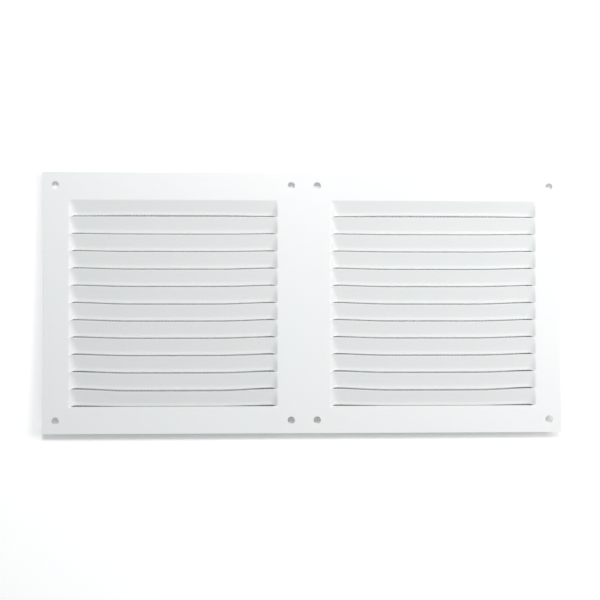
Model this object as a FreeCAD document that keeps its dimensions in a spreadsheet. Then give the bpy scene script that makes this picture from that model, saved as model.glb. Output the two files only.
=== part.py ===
import FreeCAD, Part
import math
import os
import Sketcher

# Louvred air grille: one pressed sheet panel with two blocks of louvres, and an insect
# screen behind each block on a border of rubber spacer strips.
# X runs along the width, Z is up and the front of the grille faces -Y.
# The origin is the centre of the sheet's flat back face, where it meets the wall.

os.makedirs("parts", exist_ok=True)
doc = FreeCAD.newDocument("air_grille")

# alias, value in millimetres (angles in degrees), meaning
DIMENSIONS = [
    ("panel_width", 300.0, "outside width of the sheet"),
    ("panel_height", 150.0, "outside height of the sheet"),
    ("sheet_thickness", 0.8, "sheet metal gauge"),
    ("module_centre", 75.0, "middle of one louvre block, from the panel's centre line"),
    ("hole_spacing", 135.0, "fixing hole pitch, both ways, in each module"),
    ("hole_diameter", 4.2, "plain fixing hole"),
    ("louvre_width", 120.0, "louvre from bend to bend"),
    ("louvre_pitch", 9.9, "from one cut line to the next"),
    ("louvre_count", 12, "louvres in one block"),
    ("louvre_depth", 2.4, "from the sheet's front face to the front of the lip"),
    ("slit_height", 0.75, "air gap left under each lip, seen from the front"),
    ("cap_run", 5.0, "width of the closed end of a louvre at its lip"),
    ("bend_inside", 1.2, "inside radius of the bends"),
    ("lip_bend_inside", 3.0, "inside radius of the flattening bend before the lip"),
    ("blade_angle", 17.0, "slope of the blade away from the front plane"),
    ("lip_angle", 8.0, "slope of the lip"),
    ("cap_angle", 35.0, "slope of the closed ends"),
    ("tool_reach", 8.0, "how far the forming outlines reach past the metal"),
    ("strip_width", 4.0, "rubber spacer strip, across"),
    ("strip_thickness", 3.2, "rubber spacer strip, front to back"),
    ("strip_clearance", 0.5, "from the louvre bends to the spacers"),
    ("strip_gap", 0.3, "between the ends of neighbouring strips"),
    ("screen_thickness", 0.5, "woven wire screen over its crossed wires"),
]


def make_sheet():
    """Write every driving dimension into a spreadsheet, one alias a row."""
    sheet = doc.addObject("Spreadsheet::Sheet", "dimensions")
    for row, (alias, value, meaning) in enumerate(DIMENSIONS, start=1):
        sheet.set("A%d" % row, meaning)
        sheet.set("B%d" % row, str(value))
        sheet.setAlias("B%d" % row, alias)
    doc.recompute()
    return sheet


SIZE = {alias: value for alias, value, meaning in DIMENSIONS}
make_sheet()


def cell(expression):
    """Turn plain alias names into references to the spreadsheet."""
    words = []
    word = ""
    for letter in expression + " ":
        if letter.isalnum() or letter == "_":
            word += letter
            continue
        words.append("dimensions." + word if word in SIZE else word)
        words.append(letter)
        word = ""
    return "".join(words).strip()


def new_body(label):
    body = doc.addObject("PartDesign::Body", label)
    body.Label = label
    return body


def origin_feature(body, role):
    """One of the body's own planes or axes, such as XZ_Plane or Z_Axis."""
    return [item for item in body.Origin.OriginFeatures if item.Role == role][0]


def new_sketch(body, plane, name):
    sketch = body.newObject("Sketcher::SketchObject", name)
    sketch.AttachmentSupport = [(origin_feature(body, plane), "")]
    sketch.MapMode = "FlatFace"
    return sketch


def bind(sketch, constraint, expression):
    """Drive one dimension of a sketch from the spreadsheet."""
    sketch.setExpression("Constraints[%d]" % constraint, cell(expression))


def add_line(sketch, start, end):
    first = FreeCAD.Vector(start[0], start[1], 0)
    last = FreeCAD.Vector(end[0], end[1], 0)
    return sketch.addGeometry(Part.LineSegment(first, last), False)


def add_arc(sketch, centre, radius, start_angle, end_angle):
    middle = FreeCAD.Vector(centre[0], centre[1], 0)
    circle = Part.Circle(middle, FreeCAD.Vector(0, 0, 1), radius)
    arc = Part.ArcOfCircle(circle, math.radians(start_angle), math.radians(end_angle))
    return sketch.addGeometry(arc, False)


def join(sketch, first, first_end, second, second_end):
    sketch.addConstraint(Sketcher.Constraint("Coincident", first, first_end, second, second_end))


def flow(sketch, first, first_end, second, second_end):
    """Join two pieces of outline end to end so that they run smoothly."""
    sketch.addConstraint(Sketcher.Constraint("Tangent", first, first_end, second, second_end))


def place(sketch, geometry, point, across=None, up=None):
    """Hold a point at a distance from the sketch origin; each way takes (value, expression)."""
    for kind, wanted in (("DistanceX", across), ("DistanceY", up)):
        if wanted is None:
            continue
        rule = Sketcher.Constraint(kind, -1, 1, geometry, point, wanted[0])
        bind(sketch, sketch.addConstraint(rule), wanted[1])


def polygon(sketch, points):
    """Closed outline of straight sides; level and upright sides are held so."""
    sides = []
    for index, point in enumerate(points):
        after = points[(index + 1) % len(points)]
        sides.append(add_line(sketch, point, after))
        if point[1] == after[1]:
            sketch.addConstraint(Sketcher.Constraint("Horizontal", sides[-1]))
        if point[0] == after[0]:
            sketch.addConstraint(Sketcher.Constraint("Vertical", sides[-1]))
    for index, side in enumerate(sides):
        join(sketch, side, 2, sides[(index + 1) % len(sides)], 1)
    return sides


def centred_rectangle(sketch, width, height):
    """Rectangle about the sketch origin; width and height are (value, expression)."""
    half_x = width[0] / 2
    half_y = height[0] / 2
    corners = [(-half_x, -half_y), (half_x, -half_y), (half_x, half_y), (-half_x, half_y)]
    sides = polygon(sketch, corners)
    sketch.addConstraint(Sketcher.Constraint("Symmetric", sides[0], 1, sides[2], 1, -1, 1))
    across = Sketcher.Constraint("DistanceX", sides[0], 1, sides[0], 2, width[0])
    bind(sketch, sketch.addConstraint(across), width[1])
    up = Sketcher.Constraint("DistanceY", sides[1], 1, sides[1], 2, height[0])
    bind(sketch, sketch.addConstraint(up), height[1])


# Refine stays off all through the sheet, so that the part of its back that meets the wall
# is a face of its own, apart from the two fields that carry the louvres and the spacers.


def pad(body, sketch, name, length, both_ways=False, reverse=False):
    feature = body.newObject("PartDesign::Pad", name)
    feature.Profile = sketch
    feature.setExpression("Length", cell(length))
    feature.SideType = "Symmetric" if both_ways else "One side"
    feature.Reversed = reverse
    feature.Refine = False
    return feature


def pocket_through(body, sketch, name):
    """Cut an outline out of the whole body, both ways from its plane."""
    feature = body.newObject("PartDesign::Pocket", name)
    feature.Profile = sketch
    feature.Type = "ThroughAll"
    feature.SideType = "Symmetric"
    feature.Refine = False
    return feature


def mirrored(body, features, name):
    """Repeat features for the other louvre block, across the panel's centre line."""
    mirror = body.newObject("PartDesign::Mirrored", name)
    mirror.Originals = features
    mirror.MirrorPlane = (origin_feature(body, "YZ_Plane"), [""])
    mirror.Refine = False
    body.Tip = mirror
    return mirror


class Surface:
    """One face of the formed sheet: where it lies and how tight its two bends are."""

    def __init__(self, level, level_cell, bend, bend_cell, lip_bend, lip_bend_cell, lip_extra):
        self.level = level
        self.level_cell = level_cell
        self.bend = bend
        self.bend_cell = bend_cell
        self.lip_bend = lip_bend
        self.lip_bend_cell = lip_bend_cell
        self.lip_extra = lip_extra


def front_surface():
    thick = SIZE["sheet_thickness"]
    return Surface(
        -thick, "0 - sheet_thickness",
        SIZE["bend_inside"] + thick, "bend_inside + sheet_thickness",
        SIZE["lip_bend_inside"], "lip_bend_inside",
        "0",
    )


def back_surface():
    thick = SIZE["sheet_thickness"]
    return Surface(
        0.0, "0",
        SIZE["bend_inside"], "bend_inside",
        SIZE["lip_bend_inside"] + thick, "lip_bend_inside + sheet_thickness",
        "sheet_thickness / cos(lip_angle * 1 deg)",
    )


def block_outline(body, surface, foot, foot_cell, name):
    """Outline of one louvre block seen from above, closed ends sloping at each side."""
    sketch = new_sketch(body, "XY_Plane", name)
    inner = SIZE["module_centre"] - SIZE["louvre_width"] / 2
    outer = SIZE["module_centre"] + SIZE["louvre_width"] / 2
    reach = SIZE["tool_reach"]
    angle = SIZE["cap_angle"]
    slope = math.radians(angle)
    hub = surface.level + surface.bend
    bend_x = surface.bend * math.sin(slope)
    bend_y = hub - surface.bend * math.cos(slope)
    run = bend_x + (reach - bend_y) / math.tan(slope)

    foot_side = add_line(sketch, (inner, foot), (outer, foot))
    outer_side = add_line(sketch, (outer, foot), (outer, surface.level))
    outer_bend = add_arc(sketch, (outer, hub), surface.bend, 270 - angle, 270)
    outer_ramp = add_line(sketch, (outer - bend_x, bend_y), (outer - run, reach))
    crown = add_line(sketch, (outer - run, reach), (inner + run, reach))
    inner_ramp = add_line(sketch, (inner + run, reach), (inner + bend_x, bend_y))
    inner_bend = add_arc(sketch, (inner, hub), surface.bend, 270, 270 + angle)
    inner_side = add_line(sketch, (inner, surface.level), (inner, foot))

    join(sketch, foot_side, 2, outer_side, 1)
    join(sketch, outer_side, 2, outer_bend, 2)
    flow(sketch, outer_bend, 1, outer_ramp, 1)
    join(sketch, outer_ramp, 2, crown, 1)
    join(sketch, crown, 2, inner_ramp, 1)
    flow(sketch, inner_ramp, 2, inner_bend, 2)
    join(sketch, inner_bend, 1, inner_side, 1)
    join(sketch, inner_side, 2, foot_side, 1)
    sketch.addConstraint(Sketcher.Constraint("Horizontal", foot_side))
    sketch.addConstraint(Sketcher.Constraint("Horizontal", crown))
    sketch.addConstraint(Sketcher.Constraint("Vertical", outer_side))
    sketch.addConstraint(Sketcher.Constraint("Vertical", inner_side))

    for bend in (outer_bend, inner_bend):
        rule = Sketcher.Constraint("Radius", bend, surface.bend)
        bind(sketch, sketch.addConstraint(rule), surface.bend_cell)
    inner_cell = "module_centre - louvre_width / 2"
    outer_cell = "module_centre + louvre_width / 2"
    hub_cell = "%s + %s" % (surface.level_cell, surface.bend_cell)
    place(sketch, foot_side, 1, (inner, inner_cell), (foot, foot_cell))
    place(sketch, outer_bend, 3, (outer, outer_cell), (hub, hub_cell))
    place(sketch, inner_bend, 3, (inner, inner_cell), (hub, hub_cell))
    place(sketch, outer_bend, 2, (outer, outer_cell))
    place(sketch, crown, 1, None, (reach, "tool_reach"))
    for ramp, turn in ((outer_ramp, 180 - angle), (inner_ramp, 180 + angle)):
        rule = Sketcher.Constraint("Angle", ramp, math.radians(turn))
        text = "180 - cap_angle" if ramp == outer_ramp else "180 + cap_angle"
        bind(sketch, sketch.addConstraint(rule), text)
    return sketch


def blade_points(surface, top, bottom, lip_end):
    """Ends of the blade's two bends, from its slope, its lip and where they stop."""
    slope = math.radians(SIZE["blade_angle"])
    lip = math.radians(SIZE["lip_angle"])
    hub = (surface.level + surface.bend, top)
    start = (hub[0] - surface.bend * math.cos(slope), top - surface.bend * math.sin(slope))
    turn_y = surface.lip_bend * (math.cos(lip) - math.cos(slope))
    turn_z = surface.lip_bend * (math.sin(slope) - math.sin(lip))
    far_y = lip_end - start[0] - turn_y
    far_z = start[1] - bottom - turn_z
    spread = math.sin(slope - lip)
    lip_length = (far_z * math.sin(slope) - far_y * math.cos(slope)) / spread
    finish = (lip_end - lip_length * math.sin(lip), bottom + lip_length * math.cos(lip))
    turn = (finish[0] - turn_y, finish[1] + turn_z)
    lip_hub = (
        finish[0] - surface.lip_bend * math.cos(lip),
        finish[1] - surface.lip_bend * math.sin(lip),
    )
    return hub, start, turn, lip_hub, finish


def blade_outline(body, surface, name):
    """Everything behind one blade, seen from the side: the top louvre of the block."""
    sketch = new_sketch(body, "YZ_Plane", name)
    offset = FreeCAD.Vector(0, 0, SIZE["module_centre"])
    sketch.AttachmentOffset = FreeCAD.Placement(offset, FreeCAD.Rotation())
    sketch.setExpression("AttachmentOffset.Base.z", cell("module_centre"))
    top = SIZE["louvre_pitch"] * SIZE["louvre_count"] / 2
    bottom = top - SIZE["louvre_pitch"]
    reach = SIZE["tool_reach"] * 1.5
    lip = math.radians(SIZE["lip_angle"])
    extra = SIZE["sheet_thickness"] / math.cos(lip) if surface.lip_extra != "0" else 0.0
    front_of_lip = SIZE["louvre_depth"] - SIZE["sheet_thickness"]
    lip_end = front_of_lip + SIZE["slit_height"] * math.tan(lip) + extra
    hub, start, turn, lip_hub, finish = blade_points(surface, top, bottom, lip_end)

    blade_angle = SIZE["blade_angle"]
    lip_angle = SIZE["lip_angle"]
    bend = add_arc(sketch, hub, surface.bend, 180, 180 + blade_angle)
    blade = add_line(sketch, start, turn)
    lip_bend = add_arc(sketch, lip_hub, surface.lip_bend, lip_angle, blade_angle)
    lip_line = add_line(sketch, finish, (lip_end, bottom))
    floor = add_line(sketch, (lip_end, bottom), (reach, bottom))
    back = add_line(sketch, (reach, bottom), (reach, top))
    ceiling = add_line(sketch, (reach, top), (surface.level, top))

    flow(sketch, bend, 2, blade, 1)
    flow(sketch, blade, 2, lip_bend, 2)
    flow(sketch, lip_bend, 1, lip_line, 1)
    join(sketch, lip_line, 2, floor, 1)
    join(sketch, floor, 2, back, 1)
    join(sketch, back, 2, ceiling, 1)
    join(sketch, ceiling, 2, bend, 1)
    for level_side in (floor, ceiling):
        sketch.addConstraint(Sketcher.Constraint("Horizontal", level_side))
    sketch.addConstraint(Sketcher.Constraint("Vertical", back))

    for arc, radius, text in (
        (bend, surface.bend, surface.bend_cell),
        (lip_bend, surface.lip_bend, surface.lip_bend_cell),
    ):
        rule = Sketcher.Constraint("Radius", arc, radius)
        bind(sketch, sketch.addConstraint(rule), text)
    for line, angle, text in (
        (blade, blade_angle, "blade_angle - 90"),
        (lip_line, lip_angle, "lip_angle - 90"),
    ):
        rule = Sketcher.Constraint("Angle", line, math.radians(angle - 90))
        bind(sketch, sketch.addConstraint(rule), text)
    top_cell = "louvre_pitch * louvre_count / 2"
    bottom_cell = "louvre_pitch * (louvre_count / 2 - 1)"
    hub_cell = "%s + %s" % (surface.level_cell, surface.bend_cell)
    lip_cell = "louvre_depth - sheet_thickness + slit_height * tan(lip_angle * 1 deg) + %s"
    place(sketch, bend, 3, (hub[0], hub_cell), (top, top_cell))
    place(sketch, bend, 1, None, (top, top_cell))
    place(sketch, lip_line, 2, (lip_end, lip_cell % surface.lip_extra), (bottom, bottom_cell))
    place(sketch, back, 1, (reach, "tool_reach * 1.5"))
    return sketch


def form_louvres(body, surface, foot, foot_cell, tag):
    """Raise both blocks behind the slab, then cut them back to the run of the blades."""
    outline = block_outline(body, surface, foot, foot_cell, tag + "_block_outline")
    block = pad(body, outline, tag + "_block", "louvre_pitch * louvre_count", both_ways=True)
    mirrored(body, [block], tag + "_blocks")
    cut = body.newObject("PartDesign::Pocket", tag + "_blade")
    cut.Profile = blade_outline(body, surface, tag + "_blade_outline")
    cut.SideType = "Symmetric"
    cut.setExpression("Length", cell("louvre_width + strip_clearance"))
    cut.Refine = False
    rows = ("louvre_pitch * (louvre_count - 1)", "louvre_count")
    repeat_over_panel(body, cut, tag + "_blades", *rows)


def cut_slits(body):
    """Open a slit under each lip; it closes to nothing at both ends of the louvre."""
    sketch = new_sketch(body, "XZ_Plane", "slit_outline")
    inner = SIZE["module_centre"] - SIZE["louvre_width"] / 2
    outer = SIZE["module_centre"] + SIZE["louvre_width"] / 2
    low = SIZE["louvre_pitch"] * (SIZE["louvre_count"] / 2 - 1)
    high = low + SIZE["slit_height"]
    run = SIZE["cap_run"]
    points = [(inner, low), (outer, low), (outer - run, high), (inner + run, high)]
    sides = polygon(sketch, points)
    low_cell = "louvre_pitch * (louvre_count / 2 - 1)"
    high_cell = low_cell + " + slit_height"
    left_cell = "module_centre - louvre_width / 2"
    right_cell = "module_centre + louvre_width / 2"
    place(sketch, sides[0], 1, (inner, left_cell), (low, low_cell))
    place(sketch, sides[0], 2, (outer, right_cell))
    place(sketch, sides[2], 1, (outer - run, right_cell + " - cap_run"), (high, high_cell))
    place(sketch, sides[2], 2, (inner + run, left_cell + " + cap_run"))
    first = pocket_through(body, sketch, "slit")
    repeat_over_panel(body, first, "slits", "louvre_pitch * (louvre_count - 1)", "louvre_count")


def repeat_over_panel(body, feature, name, length, count):
    """Repeat one cut down the panel, then mirror the column to the other module."""
    column = body.newObject("PartDesign::LinearPattern", name + "_column")
    column.Direction = (origin_feature(body, "Z_Axis"), [""])
    column.Reversed = True
    column.setExpression("Length", cell(length))
    column.setExpression("Occurrences", cell(count))
    across = body.newObject("PartDesign::Mirrored", name + "_mirror")
    across.MirrorPlane = (origin_feature(body, "YZ_Plane"), [""])
    both = body.newObject("PartDesign::MultiTransform", name)
    both.Originals = [feature]
    both.Transformations = [column, across]
    both.Refine = False
    body.Tip = both


def cut_holes(body):
    """Four plain fixing holes in each module, on a square about the louvre block."""
    sketch = new_sketch(body, "XZ_Plane", "hole_outline")
    near = SIZE["module_centre"] - SIZE["hole_spacing"] / 2
    far = SIZE["module_centre"] + SIZE["hole_spacing"] / 2
    high = SIZE["hole_spacing"] / 2
    near_cell = "module_centre - hole_spacing / 2"
    far_cell = "module_centre + hole_spacing / 2"
    for across, text in ((near, near_cell), (far, far_cell)):
        centre = FreeCAD.Vector(across, high, 0)
        axis = FreeCAD.Vector(0, 0, 1)
        circle = sketch.addGeometry(Part.Circle(centre, axis, SIZE["hole_diameter"] / 2), False)
        rule = Sketcher.Constraint("Diameter", circle, SIZE["hole_diameter"])
        bind(sketch, sketch.addConstraint(rule), "hole_diameter")
        place(sketch, circle, 3, (across, text), (high, "hole_spacing / 2"))
    first = pocket_through(body, sketch, "holes_top")
    repeat_over_panel(body, first, "holes", "hole_spacing", "2")


PANEL_WIDTH = (SIZE["panel_width"], "panel_width")
PANEL_HEIGHT = (SIZE["panel_height"], "panel_height")


def louvre_fields(sketch):
    """Two squares, one for each block, that hold its louvres and its spacer border."""
    span = SIZE["louvre_width"]
    span += 2 * (SIZE["strip_clearance"] * 1.5 + SIZE["strip_width"])
    span_cell = "louvre_width + strip_clearance * 3 + strip_width * 2"
    near = SIZE["module_centre"] - span / 2
    far = SIZE["module_centre"] + span / 2
    high = span / 2
    right = polygon(sketch, [(near, -high), (far, -high), (far, high), (near, high)])
    left = polygon(sketch, [(-near, -high), (-far, -high), (-far, high), (-near, high)])
    place(sketch, right[0], 1, (near, "module_centre - (%s) / 2" % span_cell))
    place(sketch, right[0], 2, (far, "module_centre + (%s) / 2" % span_cell))
    rise = Sketcher.Constraint("DistanceY", right[1], 1, right[1], 2, span)
    bind(sketch, sketch.addConstraint(rise), span_cell)
    place(sketch, right[1], 2, None, (high, "(%s) / 2" % span_cell))
    for corner in (0, 2):
        across = Sketcher.Constraint("Symmetric", right[corner], 1, left[corner], 1, -2)
        sketch.addConstraint(across)


def sheet_blank(body):
    """The flat sheet, in two pads: rim and middle band first, then the louvre fields."""
    rim = new_sketch(body, "XZ_Plane", "rim_outline")
    centred_rectangle(rim, PANEL_WIDTH, PANEL_HEIGHT)
    louvre_fields(rim)
    pad(body, rim, "rim", "sheet_thickness")
    fields = new_sketch(body, "XZ_Plane", "field_outline")
    louvre_fields(fields)
    pad(body, fields, "fields", "sheet_thickness")


def tool_plate(body):
    """Plate clear of the sheet's front, which carries the forming tool's noses."""
    sketch = new_sketch(body, "XZ_Plane", "tool_outline")
    away = FreeCAD.Vector(0, 0, 2 * SIZE["sheet_thickness"])
    sketch.AttachmentOffset = FreeCAD.Placement(away, FreeCAD.Rotation())
    sketch.setExpression("AttachmentOffset.Base.z", cell("sheet_thickness * 2"))
    centred_rectangle(sketch, PANEL_WIDTH, PANEL_HEIGHT)
    pad(body, sketch, "tool_plate", "sheet_thickness")


def make_panel():
    """The sheet: a blank thick enough for every blade, less the hollow on its front."""
    blank = new_body("pressed_blank")
    sheet_blank(blank)
    half = -SIZE["sheet_thickness"] / 2
    form_louvres(blank, back_surface(), half, "0 - sheet_thickness / 2", "back")
    cut_slits(blank)
    cut_holes(blank)

    hollow = new_body("front_hollow")
    tool_plate(hollow)
    foot = -2.5 * SIZE["sheet_thickness"]
    form_louvres(hollow, front_surface(), foot, "0 - sheet_thickness * 2.5", "front")

    panel = doc.addObject("Part::Cut", "louvred_panel")
    panel.Label = "louvred_panel"
    panel.Base = blank
    panel.Tool = hollow
    panel.Refine = False
    return panel


def make_box(label, centre, size):
    """Plain block driven by the spreadsheet; centre and size are expressions for X, Y, Z."""
    box = doc.addObject("Part::Box", label)
    box.Label = label
    for edge, expression in zip(("Length", "Width", "Height"), size):
        box.setExpression(edge, cell(expression))
    for way, middle, span in zip("xyz", centre, size):
        corner = "(%s) - (%s) / 2" % (middle, span)
        box.setExpression("Placement.Base.%s" % way, cell(corner))
    return box


SIDES = (("left", "-1"), ("right", "1"))


def make_strips(name, side):
    """Rubber border behind one block: two long strips and two that fit between them."""
    reach = "(louvre_width / 2 + strip_clearance + strip_width / 2)"
    middle = "module_centre * %s" % side
    depth = "strip_thickness / 2"
    long_size = ["louvre_width + strip_clearance * 2 + strip_width * 2", "strip_thickness",
                 "strip_width"]
    short_size = ["strip_width", "strip_thickness",
                  "louvre_width + strip_clearance * 2 - strip_gap * 2"]
    return [
        make_box("spacer_%s_top" % name, [middle, depth, reach], long_size),
        make_box("spacer_%s_bottom" % name, [middle, depth, "0 - " + reach], long_size),
        make_box("spacer_%s_outer" % name,
                 ["(module_centre + %s) * %s" % (reach, side), depth, "0"], short_size),
        make_box("spacer_%s_inner" % name,
                 ["(module_centre - %s) * %s" % (reach, side), depth, "0"], short_size),
    ]


def make_screen(name, side):
    """Insect screen behind one block, cut to the outside of its spacer border."""
    body = new_body("insect_screen_%s" % name)
    sketch = new_sketch(body, "XZ_Plane", "screen_%s_outline" % name)
    side_value = SIZE["louvre_width"] + 2 * (SIZE["strip_clearance"] + SIZE["strip_width"])
    edge = (side_value, "louvre_width + strip_clearance * 2 + strip_width * 2")
    centred_rectangle(sketch, edge, edge)
    pad(body, sketch, "screen_%s_sheet" % name, "screen_thickness", reverse=True)
    body.setExpression("Placement.Base.x", cell("module_centre * %s" % side))
    body.setExpression("Placement.Base.y", cell("strip_thickness"))
    return body


def check_document():
    """Stop if anything in the document failed to build."""
    for item in doc.Objects:
        if "Invalid" in item.State or "Error" in item.State:
            raise RuntimeError("%s did not build: %s" % (item.Name, item.State))


def export(parts):
    for part in parts:
        shape = part.Shape
        if shape.isNull() or not shape.isValid() or len(shape.Solids) != 1:
            raise RuntimeError("%s is not one sound solid" % part.Label)
        box = shape.BoundBox
        print(part.Label, "volume %.1f" % shape.Volume,
              "x %.2f %.2f y %.2f %.2f z %.2f %.2f"
              % (box.XMin, box.XMax, box.YMin, box.YMax, box.ZMin, box.ZMax))
        shape.exportStep("parts/%s.step" % part.Label)


def main():
    parts = [make_panel()]
    for name, side in SIDES:
        parts.append(make_screen(name, side))
        parts.extend(make_strips(name, side))
    doc.recompute()
    check_document()
    export(parts)


main()
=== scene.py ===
"""Louvred air grille: finished pieces, materials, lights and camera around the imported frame."""

import logging
import math
import random
from dataclasses import dataclass
from enum import Enum
from itertools import product

import bmesh
import bpy
from mathutils import Matrix, Vector


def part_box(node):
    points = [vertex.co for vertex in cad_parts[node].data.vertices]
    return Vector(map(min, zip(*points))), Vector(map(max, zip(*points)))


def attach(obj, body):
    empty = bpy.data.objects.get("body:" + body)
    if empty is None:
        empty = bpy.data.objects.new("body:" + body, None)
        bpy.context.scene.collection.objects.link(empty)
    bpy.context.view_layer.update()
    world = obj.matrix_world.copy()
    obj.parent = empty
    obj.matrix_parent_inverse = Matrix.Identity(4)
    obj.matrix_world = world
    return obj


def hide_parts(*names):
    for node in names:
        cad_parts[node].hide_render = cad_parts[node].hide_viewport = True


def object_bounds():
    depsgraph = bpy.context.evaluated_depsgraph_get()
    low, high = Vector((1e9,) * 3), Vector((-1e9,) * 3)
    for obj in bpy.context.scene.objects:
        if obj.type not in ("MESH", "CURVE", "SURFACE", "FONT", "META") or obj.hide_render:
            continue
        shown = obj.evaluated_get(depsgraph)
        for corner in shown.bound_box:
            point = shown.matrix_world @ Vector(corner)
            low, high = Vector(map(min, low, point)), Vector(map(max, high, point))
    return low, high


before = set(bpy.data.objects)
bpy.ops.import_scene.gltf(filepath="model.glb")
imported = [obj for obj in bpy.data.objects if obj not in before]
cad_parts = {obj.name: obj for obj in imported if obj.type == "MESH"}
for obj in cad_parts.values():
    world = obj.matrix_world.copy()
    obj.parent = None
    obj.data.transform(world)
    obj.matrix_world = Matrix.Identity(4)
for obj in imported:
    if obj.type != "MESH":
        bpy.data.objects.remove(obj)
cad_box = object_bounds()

logging.basicConfig(level=logging.INFO, format="%(message)s")
log = logging.getLogger("air_grille")

MM = 0.001
# Grid lines are rounded to this, and points are matched within MATCH of them.
DECIMALS = 7
MATCH = 0.01 * MM
# A Mix node's colour inputs and output, which share their names with its number ones.
MIX_A, MIX_B, MIX_RESULT = 6, 7, 2


class Side(Enum):
    """Which louvre block a piece belongs to."""

    LEFT = "left"
    RIGHT = "right"


class Edge(Enum):
    """Which edge of a screen a spacer strip runs along."""

    TOP = "top"
    BOTTOM = "bottom"
    OUTER = "outer"
    INNER = "inner"


def linear(colour: str) -> tuple[float, float, float, float]:
    """Turn an sRGB hex value into the linear colour that shaders take.

    Args:
        colour: six hex digits with a leading hash.

    Returns:
        Red, green, blue and an alpha of one.
    """
    parts = [int(colour[i : i + 2], 16) / 255 for i in (1, 3, 5)]
    red, green, blue = (
        value / 12.92 if value <= 0.04045 else ((value + 0.055) / 1.055) ** 2.4
        for value in parts
    )
    return red, green, blue, 1.0


def add_node(
    material: bpy.types.Material,
    kind: str,
    settings: dict[str, object] | None = None,
    links: dict[str, bpy.types.NodeSocket] | None = None,
) -> bpy.types.Node:
    """Add one shader node.

    Args:
        material: the material whose tree takes the node.
        kind: the node's type name.
        settings: input values by socket name, or properties of the node itself.
        links: sockets to join to the node's inputs, by input name.

    Returns:
        The new node.
    """
    node = material.node_tree.nodes.new(kind)
    for name, value in (settings or {}).items():
        if name in node.inputs:
            node.inputs[name].default_value = value
        else:
            setattr(node, name, value)
    for name, socket in (links or {}).items():
        material.node_tree.links.new(socket, node.inputs[name])
    return node


def empty_material(name: str) -> bpy.types.Material:
    """Make a material with nothing in its tree.

    Args:
        name: the real material it stands for.

    Returns:
        The material, ready for its nodes.
    """
    material = bpy.data.materials.new(name)
    material.use_nodes = True
    material.node_tree.nodes.clear()
    return material


def two_tone(
    material: bpy.types.Material, colours: tuple[str, str], share: bpy.types.NodeSocket
) -> bpy.types.NodeSocket:
    """Blend two colours over a surface.

    Args:
        material: the material whose tree takes the node.
        colours: the two sRGB hex values.
        share: how much of the second colour, from nought to one.

    Returns:
        The blended colour's socket.
    """
    tone = add_node(
        material, "ShaderNodeMix", {"data_type": "RGBA"}, {"Factor": share}
    )
    tone.inputs[MIX_A].default_value = linear(colours[0])
    tone.inputs[MIX_B].default_value = linear(colours[1])
    return tone.outputs[MIX_RESULT]


def close_tree(material: bpy.types.Material, shader: bpy.types.NodeSocket) -> bpy.types.Material:
    """Join the finished shader to the material's output.

    Args:
        material: the material whose tree is complete.
        shader: the last shader's socket.

    Returns:
        The same material.
    """
    add_node(material, "ShaderNodeOutputMaterial", links={"Surface": shader})
    return material


def mesh_object(shape: bmesh.types.BMesh, name: str) -> bpy.types.Object:
    """Turn a finished bmesh into a smooth-shaded object at the origin.

    Args:
        shape: the finished shape; it is freed.
        name: the piece's name.

    Returns:
        The object, linked to the scene.
    """
    mesh = bpy.data.meshes.new(name)
    shape.to_mesh(mesh)
    shape.free()
    mesh.shade_smooth()
    thing = bpy.data.objects.new(name, mesh)
    bpy.context.scene.collection.objects.link(thing)
    return thing


@dataclass(frozen=True)
class BakedPolyester:
    """White polyester powder coat, sprayed and baked on sheet metal: semi-gloss orange peel.

    The eye sees a clean neutral white with soft, slightly broken highlights along the bends.
    """

    colours: tuple[str, str] = ("#e2e4e3", "#dee1e0")
    gloss: tuple[float, float] = (0.32, 0.41)
    peel_size: float = 1.6 * MM
    peel_height: float = 0.006 * MM
    cloud_size: float = 45 * MM

    def material(self) -> bpy.types.Material:
        """Build the coat's shader.

        Returns:
            The material.
        """
        material = empty_material("baked_polyester_white")
        place = add_node(material, "ShaderNodeTexCoord").outputs["Object"]
        cloud = add_node(
            material,
            "ShaderNodeTexNoise",
            {"Scale": 1 / self.cloud_size, "Detail": 3.0, "Roughness": 0.5},
            {"Vector": place},
        )
        gloss = add_node(
            material,
            "ShaderNodeMapRange",
            {"To Min": self.gloss[0], "To Max": self.gloss[1]},
            {"Value": cloud.outputs["Fac"]},
        )
        peel = add_node(
            material,
            "ShaderNodeTexNoise",
            {"Scale": 1 / self.peel_size, "Detail": 2.0, "Roughness": 0.4},
            {"Vector": place},
        )
        bump = add_node(
            material,
            "ShaderNodeBump",
            {"Strength": 0.35, "Distance": self.peel_height},
            {"Height": peel.outputs["Fac"]},
        )
        coat = add_node(
            material,
            "ShaderNodeBsdfPrincipled",
            {"IOR": 1.5},
            {
                "Base Color": two_tone(material, self.colours, cloud.outputs["Fac"]),
                "Roughness": gloss.outputs["Result"],
                "Normal": bump.outputs["Normal"],
            },
        )
        return close_tree(material, coat.outputs["BSDF"])


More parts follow.
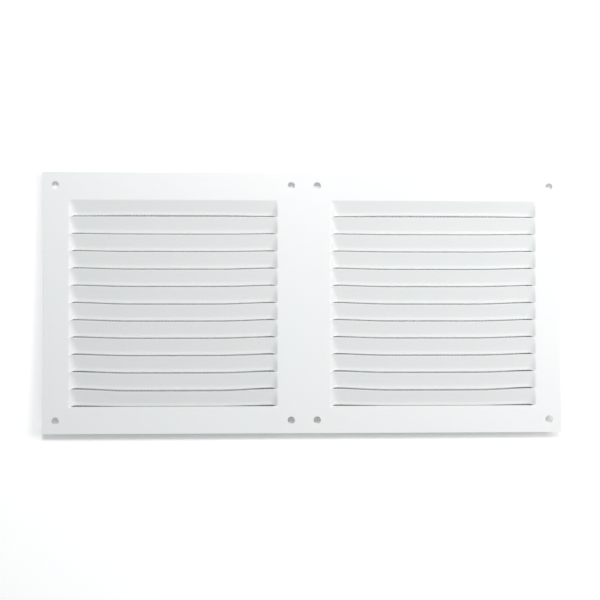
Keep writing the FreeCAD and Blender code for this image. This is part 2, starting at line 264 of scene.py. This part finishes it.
@dataclass(frozen=True)
class DrawnAluminiumWire:
    """Bare aluminium wire, drawn through a die and woven, with a faint oxide mottle.

    The eye sees a fine grey mesh, each wire with a soft metal glint that dulls in patches.
    """

    colours: tuple[str, str] = ("#c9cbcc", "#a2a5a7")
    gloss: tuple[float, float] = (0.34, 0.54)
    mottle_size: float = 6 * MM

    def material(self) -> bpy.types.Material:
        """Build the wire's shader.

        Returns:
            The material.
        """
        material = empty_material("drawn_aluminium_wire")
        place = add_node(material, "ShaderNodeTexCoord").outputs["Object"]
        mottle = add_node(
            material,
            "ShaderNodeTexNoise",
            {"Scale": 1 / self.mottle_size, "Detail": 4.0},
            {"Vector": place},
        )
        gloss = add_node(
            material,
            "ShaderNodeMapRange",
            {"To Min": self.gloss[0], "To Max": self.gloss[1]},
            {"Value": mottle.outputs["Fac"]},
        )
        wire = add_node(
            material,
            "ShaderNodeBsdfPrincipled",
            {"Metallic": 1.0},
            {
                "Base Color": two_tone(material, self.colours, mottle.outputs["Fac"]),
                "Roughness": gloss.outputs["Result"],
            },
        )
        return close_tree(material, wire.outputs["BSDF"])


@dataclass(frozen=True)
class ExtrudedRubber:
    """EPDM rubber strip, extruded and cut to length, with a fine grain.

    The eye sees a near-black matt band, greyed here and there by a dusty bloom.
    """

    colours: tuple[str, str] = ("#2a2b2c", "#3c3d3e")
    roughness: float = 0.82
    grain_size: float = 0.7 * MM
    grain_height: float = 0.03 * MM
    bloom_size: float = 12 * MM

    def material(self) -> bpy.types.Material:
        """Build the rubber's shader.

        Returns:
            The material.
        """
        material = empty_material("extruded_epdm_rubber")
        place = add_node(material, "ShaderNodeTexCoord").outputs["Object"]
        grain = add_node(
            material,
            "ShaderNodeTexNoise",
            {"Scale": 1 / self.grain_size, "Detail": 3.0},
            {"Vector": place},
        )
        dust = add_node(
            material,
            "ShaderNodeTexNoise",
            {"Scale": 1 / self.bloom_size, "Detail": 4.0, "Roughness": 0.6},
            {"Vector": place},
        )
        bump = add_node(
            material,
            "ShaderNodeBump",
            {"Strength": 0.6, "Distance": self.grain_height},
            {"Height": grain.outputs["Fac"]},
        )
        rubber = add_node(
            material,
            "ShaderNodeBsdfPrincipled",
            {"Roughness": self.roughness, "IOR": 1.5},
            {
                "Base Color": two_tone(material, self.colours, dust.outputs["Fac"]),
                "Normal": bump.outputs["Normal"],
            },
        )
        return close_tree(material, rubber.outputs["BSDF"])


def soft_step(value: float) -> float:
    """Ease from zero to one as the value goes from zero to one."""
    value = min(max(value, 0.0), 1.0)
    return value * value * (3 - 2 * value)


def soft_least(values: list[float], sharpness: float = 4.0) -> float:
    """Give the least of some lengths, rounding the valley where two of them meet.

    Args:
        values: the lengths.
        sharpness: how tightly the valley follows the least one.

    Returns:
        A length at or just under the least.
    """
    if min(values) < 1e-7:
        return 0.0
    return sum(value**-sharpness for value in values) ** (-1 / sharpness)


@dataclass
class BladeProfile:
    """Run of one blade from its top bend to its lip, on the sheet's front face."""

    run: float
    depth: float = 2.4 * MM
    bend: float = 2.0 * MM
    lip_bend: float = 3.0 * MM
    blade_angle: float = math.radians(17)
    lip_angle: float = math.radians(8)

    def __post_init__(self) -> None:
        """Find where the two bends stop, from the slopes between them."""
        slope, lip = self.blade_angle, self.lip_angle
        first = Vector((math.sin(slope), 1 - math.cos(slope))) * self.bend
        last = (
            Vector((math.sin(slope) - math.sin(lip), math.cos(lip) - math.cos(slope)))
            * self.lip_bend
        )
        rest = Vector((self.run, self.depth)) - first - last
        spread = math.sin(slope - lip)
        lip_length = (rest.x * math.sin(slope) - rest.y * math.cos(slope)) / spread
        self.bend_end = first
        self.lip_start = Vector((self.run, self.depth)) - lip_length * Vector(
            (math.cos(lip), math.sin(lip))
        )
        self.turn_start = self.lip_start - last

    def at(self, down: float) -> float:
        """Give the blade's depth behind the front plane.

        Args:
            down: distance down from the blade's top.

        Returns:
            The depth there.
        """
        if down <= self.bend_end.x:
            down = max(down, 0.0)
            return self.bend - math.sqrt(self.bend**2 - down**2)
        if down <= self.turn_start.x:
            return self.bend_end.y + (down - self.bend_end.x) * math.tan(self.blade_angle)
        if down <= self.lip_start.x:
            centre = self.lip_start + self.lip_bend * Vector(
                (math.sin(self.lip_angle), -math.cos(self.lip_angle))
            )
            return centre.y + math.sqrt(self.lip_bend**2 - (down - centre.x) ** 2)
        return self.lip_start.y + (down - self.lip_start.x) * math.tan(self.lip_angle)


@dataclass
class LouvredPanel:
    """The coated sheet: flat rim and middle band, and two blocks of pressed louvres."""

    width: float = 300 * MM
    height: float = 150 * MM
    gauge: float = 0.8 * MM
    module_centre: float = 75 * MM
    block_width: float = 120 * MM
    pitch: float = 9.9 * MM
    count: int = 12
    slit: float = 0.75 * MM
    hole_radius: float = 2.1 * MM
    hole_spacing: float = 135 * MM
    hole_cell: float = 4.0 * MM
    hole_sides: int = 8
    cap_bend: float = 0.8 * MM
    cap_run: float = 5.4 * MM
    cap_least_run: float = 0.5
    tip: float = 0.7 * MM
    slit_opens_over: float = 2.8 * MM
    lip_closes: float = 1.3
    tip_closes: float = 2.5
    draw_in: float = 0.9 * MM
    edge_roll: float = 0.34 * MM
    edge_angle: float = math.radians(55)
    flat_margin: float = 1.2 * MM
    hole_ring: float = 1.25
    hole_inset: float = 0.3 * MM
    sag_over: float = 35 * MM
    # How far each blade's top edge and lip have sprung down at mid length, in millimetres.
    top_sag: tuple[float, ...] = (
        0, 0, 0.35, 0.46, 0.69, 0.78, 0.98, 0.89, 0.84, 0.91, 0.98, 1.3,
    )  # fmt: skip
    lip_sag: tuple[float, ...] = (
        -0.42, 0.35, 0.46, 0.69, 0.78, 0.98, 0.88, 0.82, 0.88, 0.94, 1.18, 0.68,
    )  # fmt: skip
    # Grid lines in millimetres: across a block from its side, and down one louvre.
    across: tuple[float, ...] = (
        -1.2, 0, 0.35, 0.7, 1.05, 1.4, 1.75, 2.1, 2.5, 2.9, 3.4, 3.9, 4.4, 5.0, 5.7, 6.5,
        7.5, 9, 11.5, 14.5, 18.5, 24, 31, 40, 50,
    )  # fmt: skip
    down: tuple[float, ...] = (
        0, 0.22, 0.45, 0.67, 0.9, 1.12, 1.6, 2.4, 3.4, 4.4, 5.4, 6.4, 7.2, 7.8, 8.3, 8.7,
        9.0, 9.25, 9.5, 9.7,
    )  # fmt: skip

    def __post_init__(self) -> None:
        """Set the blade's run from the pitch and the slit."""
        self.profile = BladeProfile(run=self.pitch - self.slit)
        self.front = -self.gauge
        self.top = self.pitch * self.count / 2

    def columns(self) -> list[float]:
        """Place the upright grid lines of the sheet.

        Returns:
            Their distances across, left to right.
        """
        half = self.block_width / 2
        lines = {0.0}
        for centre in (-self.module_centre, self.module_centre):
            lines.add(centre)
            for offset in self.across:
                lines.add(centre - half + offset * MM)
                lines.add(centre + half - offset * MM)
            for hole in (-self.hole_spacing / 2, self.hole_spacing / 2):
                lines.add(centre + hole - self.hole_cell)
                lines.add(centre + hole + self.hole_cell)
            lines.add(centre + math.copysign(self.width / 2 - self.module_centre, centre))
        return sorted({round(line, DECIMALS) for line in lines})

    def rows(self) -> list[float]:
        """Place the level grid lines of the sheet.

        Returns:
            Their heights, bottom to top.
        """
        lines = {-self.height / 2, self.height / 2, -self.top, self.top}
        for hole in (-self.hole_spacing / 2, self.hole_spacing / 2):
            lines |= {hole - self.hole_cell, hole + self.hole_cell}
        lines |= {-self.top - self.flat_margin, self.top + self.flat_margin}
        for louvre in range(self.count):
            start = self.top - louvre * self.pitch
            lines |= {start - line * MM for line in self.down}
        return sorted({round(line, DECIMALS) for line in lines})

    def flat_sheet(self) -> bmesh.types.BMesh:
        """Lay out the whole sheet as a grid in its front plane, facing forwards.

        Returns:
            The flat sheet.
        """
        columns, rows = self.columns(), self.rows()
        shape = bmesh.new()
        bmesh.ops.create_grid(
            shape, x_segments=len(columns) - 1, y_segments=len(rows) - 1, size=1.0
        )
        for vert in shape.verts:
            column = round((vert.co.x + 1) / 2 * (len(columns) - 1))
            row = round((vert.co.y + 1) / 2 * (len(rows) - 1))
            vert.co = (columns[column], self.front, rows[row])
        return shape

    def from_side(self, x: float) -> float:
        """Give the distance inside the nearest louvre block's side; negative on the rim."""
        return self.block_width / 2 - abs(abs(x) - self.module_centre)

    def cut_slits(self, shape: bmesh.types.BMesh) -> set[bmesh.types.BMVert]:
        """Split the sheet along every lip.

        Args:
            shape: the flat sheet.

        Returns:
            The lip's own points, which hang from the blade above.
        """
        edges = []
        for edge in shape.edges:
            first, last = (vert.co for vert in edge.verts)
            if abs(first.z - last.z) > MATCH or abs(first.z) > self.top + MATCH:
                continue
            steps = (self.top - first.z) / self.pitch
            if steps < 0.5 or abs(steps - round(steps)) * self.pitch > MATCH:
                continue
            if min(self.from_side(first.x), self.from_side(last.x)) < self.tip - MATCH:
                continue
            edges.append(edge)
        bmesh.ops.split_edges(shape, edges=edges)
        lips = set()
        for vert in shape.verts:
            steps = (self.top - vert.co.z) / self.pitch
            if steps < 0.5 or abs(steps - round(steps)) * self.pitch > MATCH:
                continue
            if self.from_side(vert.co.x) < self.tip + MATCH:
                continue
            if all(face.calc_center_median().z > vert.co.z for face in vert.link_faces):
                lips.add(vert)
        return lips

    def scoop(self, inside: float, share: float) -> float:
        """How far a blade is let down near its closed end.

        The end cap is steepest just past its bend and flattens out towards the blade.

        Args:
            inside: distance inside the block's side.
            share: the blade's own depth there, as a share of its full depth.

        Returns:
            Nought at the block's side, one past the cap.
        """
        run = self.cap_run * (self.cap_least_run + (1 - self.cap_least_run) * share)
        bend = self.cap_bend / run
        along = min(max(inside / run, 0.0), 1.0)
        if along < bend:
            return along**2 / bend
        past = along - bend
        return bend + 2 * past - past**2 / (1 - bend)

    def press(self, shape: bmesh.types.BMesh, lips: set[bmesh.types.BMVert]) -> None:
        """Push every louvre back out of the sheet's plane, and let its edges sag.

        Args:
            shape: the sheet, pierced and slit.
            lips: the points that hang from the blade above.
        """
        for vert in shape.verts:
            inside = self.from_side(vert.co.x)
            fall = self.top - vert.co.z
            side = self.module_centre + self.block_width / 2
            if abs(vert.co.x) > side:
                rim = (abs(vert.co.x) - side) / (self.width / 2 - side)
                bow = 1 - (2 * vert.co.z / self.height) ** 2
                vert.co.x -= math.copysign(self.draw_in * rim * bow, vert.co.x)
            if inside <= 0 or fall < -1e-7 or fall > self.pitch * self.count + 1e-7:
                continue
            louvre = int(fall / self.pitch + 1e-4)
            down = fall - louvre * self.pitch
            if vert in lips:
                louvre -= 1
                down = self.pitch
            if louvre >= self.count:
                continue
            opening = self.slit * soft_step((inside - self.tip) / self.slit_opens_over)
            run = down * (self.pitch - opening) / self.pitch
            beyond_tip = max(inside - self.tip, 0.0)
            closing = (self.pitch - down) * self.lip_closes + beyond_tip * self.tip_closes
            blade = self.profile.at(run)
            blade *= self.scoop(inside, blade / self.profile.depth)
            depth = soft_least([blade, closing])
            share = down / self.pitch
            sag = self.top_sag[louvre] * (1 - share) + self.lip_sag[louvre] * share
            arch = soft_step(inside / self.sag_over)
            vert.co.z = self.top - louvre * self.pitch - run - sag * MM * arch
            vert.co.y = self.front + depth

    def pierce(self, shape: bmesh.types.BMesh) -> None:
        """Cut the eight fixing holes, each in the middle of its own square of the grid.

        Args:
            shape: the flat sheet.
        """
        half = self.hole_spacing / 2
        for module, across, up in product((-1, 1), (-half, half), (-half, half)):
            centre = Vector((module * self.module_centre + across, self.front, up))
            face = min(shape.faces, key=lambda f: (f.calc_center_median() - centre).length)
            bmesh.ops.bisect_edges(shape, edges=list(face.edges), cuts=self.hole_sides - 1)
            for radius in (self.hole_radius * self.hole_ring, self.hole_radius):
                bmesh.ops.inset_individual(shape, faces=[face], thickness=self.hole_inset)
                for vert in face.verts:
                    away = vert.co - centre
                    vert.co = centre + away.normalized() * radius
            bmesh.ops.delete(shape, geom=[face], context="FACES")

    def build(self) -> bpy.types.Object:
        """Make the whole pressed sheet.

        Returns:
            The panel, with its thickness and its rounded edges.
        """
        shape = self.flat_sheet()
        self.pierce(shape)
        lips = self.cut_slits(shape)
        self.press(shape, lips)
        panel = mesh_object(shape, "pressed_panel")
        wall = panel.modifiers.new("gauge", "SOLIDIFY")
        wall.thickness = self.gauge
        wall.offset = -1.0
        wall.use_even_offset = True
        wall.use_quality_normals = True
        edge = panel.modifiers.new("coated_edges", "BEVEL")
        edge.width = self.edge_roll
        edge.segments = 2
        edge.limit_method = "ANGLE"
        edge.angle_limit = self.edge_angle
        even = panel.modifiers.new("flat_faces_stay_flat", "WEIGHTED_NORMAL")
        even.keep_sharp = True
        return panel


@dataclass
class InsectScreen:
    """Plain-woven wire screen behind one louvre block."""

    side: Side
    wires: int = 64
    wire_radius: float = 0.125 * MM
    wire_sides: int = 4

    def unit(self, pitch: float) -> bmesh.types.BMesh:
        """Weave one repeat: two wires each way, each over one crossing and under the next.

        Args:
            pitch: distance from wire to wire.

        Returns:
            The repeat, two pitches wide and high.
        """
        shape = bmesh.new()
        step = pitch / 2
        for turned in (False, True):
            for row in (0, 1):
                lift = self.wire_radius * (1 if row else -1) * (-1 if turned else 1)
                end = bmesh.ops.create_circle(
                    shape, segments=self.wire_sides, radius=self.wire_radius
                )
                ring = end["verts"]
                spin = Matrix.Rotation(math.radians(90), 3, "Y")
                bmesh.ops.rotate(shape, verts=ring, cent=(0, 0, 0), matrix=spin)
                heights = [0.0, lift, 0.0, -lift, 0.0]
                start = Vector((0, heights[0], row * pitch + step))
                bmesh.ops.translate(shape, verts=ring, vec=start)
                edges = list({edge for vert in ring for edge in vert.link_edges})
                made = list(ring)
                for before, after in zip(heights, heights[1:]):
                    out = bmesh.ops.extrude_edge_only(shape, edges=edges)["geom"]
                    fresh = [g for g in out if isinstance(g, bmesh.types.BMVert)]
                    edges = [g for g in out if isinstance(g, bmesh.types.BMEdge)]
                    move = Vector((step, after - before, 0))
                    bmesh.ops.translate(shape, verts=fresh, vec=move)
                    made += fresh
                if turned:
                    upright = Matrix(((0, 0, 1), (0, 1, 0), (1, 0, 0)))
                    bmesh.ops.transform(shape, verts=made, matrix=upright.to_4x4())
        return shape

    def build(self) -> bpy.types.Object:
        """Repeat the weave over the screen and close every wire's end.

        Returns:
            The woven screen.
        """
        node = "insect_screen_" + self.side.value
        low, high = (Vector(corner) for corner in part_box(node))
        pitch = (high.x - low.x) / self.wires
        shape = self.unit(pitch)
        for way in (Vector((1, 0, 0)), Vector((0, 0, 1))):
            count = 1
            while count < self.wires // 2:
                whole = shape.verts[:] + shape.edges[:] + shape.faces[:]
                copy = bmesh.ops.duplicate(shape, geom=whole)
                fresh = [g for g in copy["geom"] if isinstance(g, bmesh.types.BMVert)]
                bmesh.ops.translate(shape, verts=fresh, vec=way * 2 * pitch * count)
                count *= 2
        bmesh.ops.remove_doubles(shape, verts=shape.verts[:], dist=MATCH)
        ends = [edge for edge in shape.edges if edge.is_boundary]
        bmesh.ops.holes_fill(shape, edges=ends, sides=self.wire_sides)
        middle_y = (low.y + high.y) / 2
        bmesh.ops.translate(shape, verts=shape.verts[:], vec=Vector((low.x, middle_y, low.z)))
        bmesh.ops.recalc_face_normals(shape, faces=shape.faces[:])
        screen = mesh_object(shape, "woven_screen_" + self.side.value)
        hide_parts(node)
        return screen


@dataclass
class SpacerStrip:
    """One self-adhesive rubber strip of the border that a screen is stuck to."""

    side: Side
    edge: Edge
    rounding: float = 0.35 * MM
    piece: float = 6 * MM
    waver: float = 0.12 * MM

    def build(self) -> bpy.types.Object:
        """Round the strip's edges and let its cut sides waver a little.

        Returns:
            The strip.
        """
        node = "spacer_%s_%s" % (self.side.value, self.edge.value)
        low, high = (Vector(corner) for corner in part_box(node))
        size = high - low
        shape = bmesh.new()
        bmesh.ops.create_cube(shape, size=1.0)
        bmesh.ops.scale(shape, verts=shape.verts[:], vec=size)
        bmesh.ops.translate(shape, verts=shape.verts[:], vec=(low + high) / 2)
        bmesh.ops.bevel(
            shape,
            geom=shape.edges[:],
            offset=self.rounding,
            offset_type="OFFSET",
            affect="EDGES",
            segments=3,
            profile=0.5,
            material=-1,
            clamp_overlap=True,
        )
        along = 0 if size.x > size.z else 2
        across = 2 - along
        long_edges = [e for e in shape.edges if e.calc_length() > max(size) / 2]
        cuts = int(max(size) / self.piece)
        bmesh.ops.subdivide_edges(shape, edges=long_edges, cuts=cuts, use_grid_fill=True)
        draw = random.Random(node)
        drift = [draw.uniform(0, 1) for _ in range(cuts + 2)]
        middle = (low + high) / 2
        for vert in shape.verts:
            share = (vert.co[along] - low[along]) / size[along]
            amount = drift[round(share * (cuts + 1))] * self.waver
            vert.co[across] -= math.copysign(amount, vert.co[across] - middle[across])
        strip = mesh_object(shape, "rubber_strip_%s_%s" % (self.side.value, self.edge.value))
        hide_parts(node)
        return strip


@dataclass
class Studio:
    """Wall, floor, lights and camera."""

    wall_gap: float = 1.55 * MM
    wall_lean: float = math.radians(-1.3)
    floor_drop: float = 0.6
    key_power: float = 5.95
    key_size: tuple[float, float] = (0.2, 0.2)
    key_from: tuple[float, float, float] = (0.03, -1.2, 0.555)
    strip_power: float = 1.04
    strip_size: tuple[float, float] = (0.7, 0.1)
    strip_from: tuple[float, float, float] = (0.05, -0.5, 0.23)
    side_power: float = 2.05
    side_size: tuple[float, float] = (0.3, 0.3)
    side_from: tuple[float, float, float] = (0.5, -0.52, 0.07)
    sky: float = 0.4
    wall_glow: float = 0.12
    board_size: float = 6.0
    lens: float = 70.0
    sensor: float = 36.0
    nearest: float = 0.01
    distance: float = 0.6732
    azimuth: float = -2.41
    elevation: float = -0.3
    target: tuple[float, float, float] = (-0.0024, 0.0, 0.00175)

    def board_material(self, name: str, colour: str, glow: float) -> bpy.types.Material:
        """Board that shows and shades only on its front, so the grille's back stays in view.

        Args:
            name: what the board is.
            colour: its sRGB colour.
            glow: light of its own, as a lit studio background gives off.

        Returns:
            The board's material.
        """
        material = empty_material(name)
        board = add_node(
            material,
            "ShaderNodeBsdfPrincipled",
            {
                "Base Color": linear(colour),
                "Roughness": 0.9,
                "Specular IOR Level": 0.1,
                "Emission Color": linear("#ffffff"),
                "Emission Strength": glow,
            },
        )
        clear = add_node(material, "ShaderNodeBsdfTransparent")
        face = add_node(material, "ShaderNodeNewGeometry")
        either = add_node(
            material, "ShaderNodeMixShader", links={"Fac": face.outputs["Backfacing"]}
        )
        tree = material.node_tree
        tree.links.new(board.outputs["BSDF"], either.inputs[1])
        tree.links.new(clear.outputs["BSDF"], either.inputs[2])
        return close_tree(material, either.outputs["Shader"])

    def board(self, place: Matrix, finish: bpy.types.Material) -> None:
        """Make one square board of the stage.

        Args:
            place: where its middle lies and how it is turned.
            finish: its material, whose name it takes.
        """
        shape = bmesh.new()
        bmesh.ops.create_grid(shape, x_segments=1, y_segments=1, size=self.board_size / 2)
        bmesh.ops.transform(shape, verts=shape.verts[:], matrix=place)
        board = mesh_object(shape, finish.name)
        board.data.materials.append(finish)

    def lamp(
        self, name: str, power: float, size: tuple[float, float], place: tuple[float, ...]
    ) -> None:
        """Hang one softbox, aimed at the grille.

        Args:
            name: the light's name.
            power: watts.
            size: width and height of its face.
            place: where it hangs.
        """
        data = bpy.data.lights.new(name, "AREA")
        data.energy = power
        data.shape = "RECTANGLE"
        data.size, data.size_y = size
        lamp = bpy.data.objects.new(name, data)
        lamp.location = place
        lamp.rotation_euler = (-Vector(place)).to_track_quat("-Z", "Y").to_euler()
        bpy.context.scene.collection.objects.link(lamp)

    def camera(self) -> None:
        """Set the camera up a little left of square on and a little low."""
        turn, rise = math.radians(self.azimuth), math.radians(self.elevation)
        away = Vector(
            (math.cos(rise) * math.sin(turn), -math.cos(rise) * math.cos(turn), math.sin(rise))
        )
        data = bpy.data.cameras.new("camera")
        data.lens = self.lens
        data.sensor_width = self.sensor
        data.clip_start = self.nearest
        camera = bpy.data.objects.new("camera", data)
        camera.location = Vector(self.target) + away * self.distance
        camera.rotation_euler = (-away).to_track_quat("-Z", "Y").to_euler()
        bpy.context.scene.collection.objects.link(camera)
        bpy.context.scene.camera = camera

    def build(self) -> None:
        """Set up the whole stage."""
        back = cad_box[1][1] + self.wall_gap
        lean = Matrix.Rotation(math.radians(90) - self.wall_lean, 4, "X")
        upright = Matrix.Translation((0, back, 0)) @ lean
        self.board(upright, self.board_material("backdrop", "#fbfbfb", self.wall_glow))
        level = Matrix.Translation((0, 0, cad_box[0][2] - self.floor_drop))
        self.board(level, self.board_material("pale_floor", "#a0a1a2", 0.0))
        self.lamp("key", self.key_power, self.key_size, self.key_from)
        self.lamp("strip", self.strip_power, self.strip_size, self.strip_from)
        self.lamp("side", self.side_power, self.side_size, self.side_from)
        world = bpy.data.worlds.new("studio")
        world.use_nodes = True
        sky = world.node_tree.nodes["Background"]
        sky.inputs["Color"].default_value = linear("#fbfdff")
        sky.inputs["Strength"].default_value = self.sky
        scene = bpy.context.scene
        scene.world = world
        scene.view_settings.view_transform = "Standard"
        self.camera()


def dress(piece: bpy.types.Object, material: bpy.types.Material) -> None:
    """Give a finished piece its material and tie it to the grille.

    Args:
        piece: the piece.
        material: its finish.
    """
    piece.data.materials.clear()
    piece.data.materials.append(material)
    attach(piece, "root")
    log.info("%s: %d faces", piece.name, len(piece.data.polygons))


def main() -> None:
    """Build the stage and every piece of the grille."""
    Studio().build()
    coat = BakedPolyester().material()
    wire = DrawnAluminiumWire().material()
    rubber = ExtrudedRubber().material()

    panel = LouvredPanel().build()
    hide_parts("louvred_panel")
    dress(panel, coat)
    for side in Side:
        dress(InsectScreen(side).build(), wire)
        for edge in Edge:
            dress(SpacerStrip(side, edge).build(), rubber)


if __name__ == "__main__":
    main()
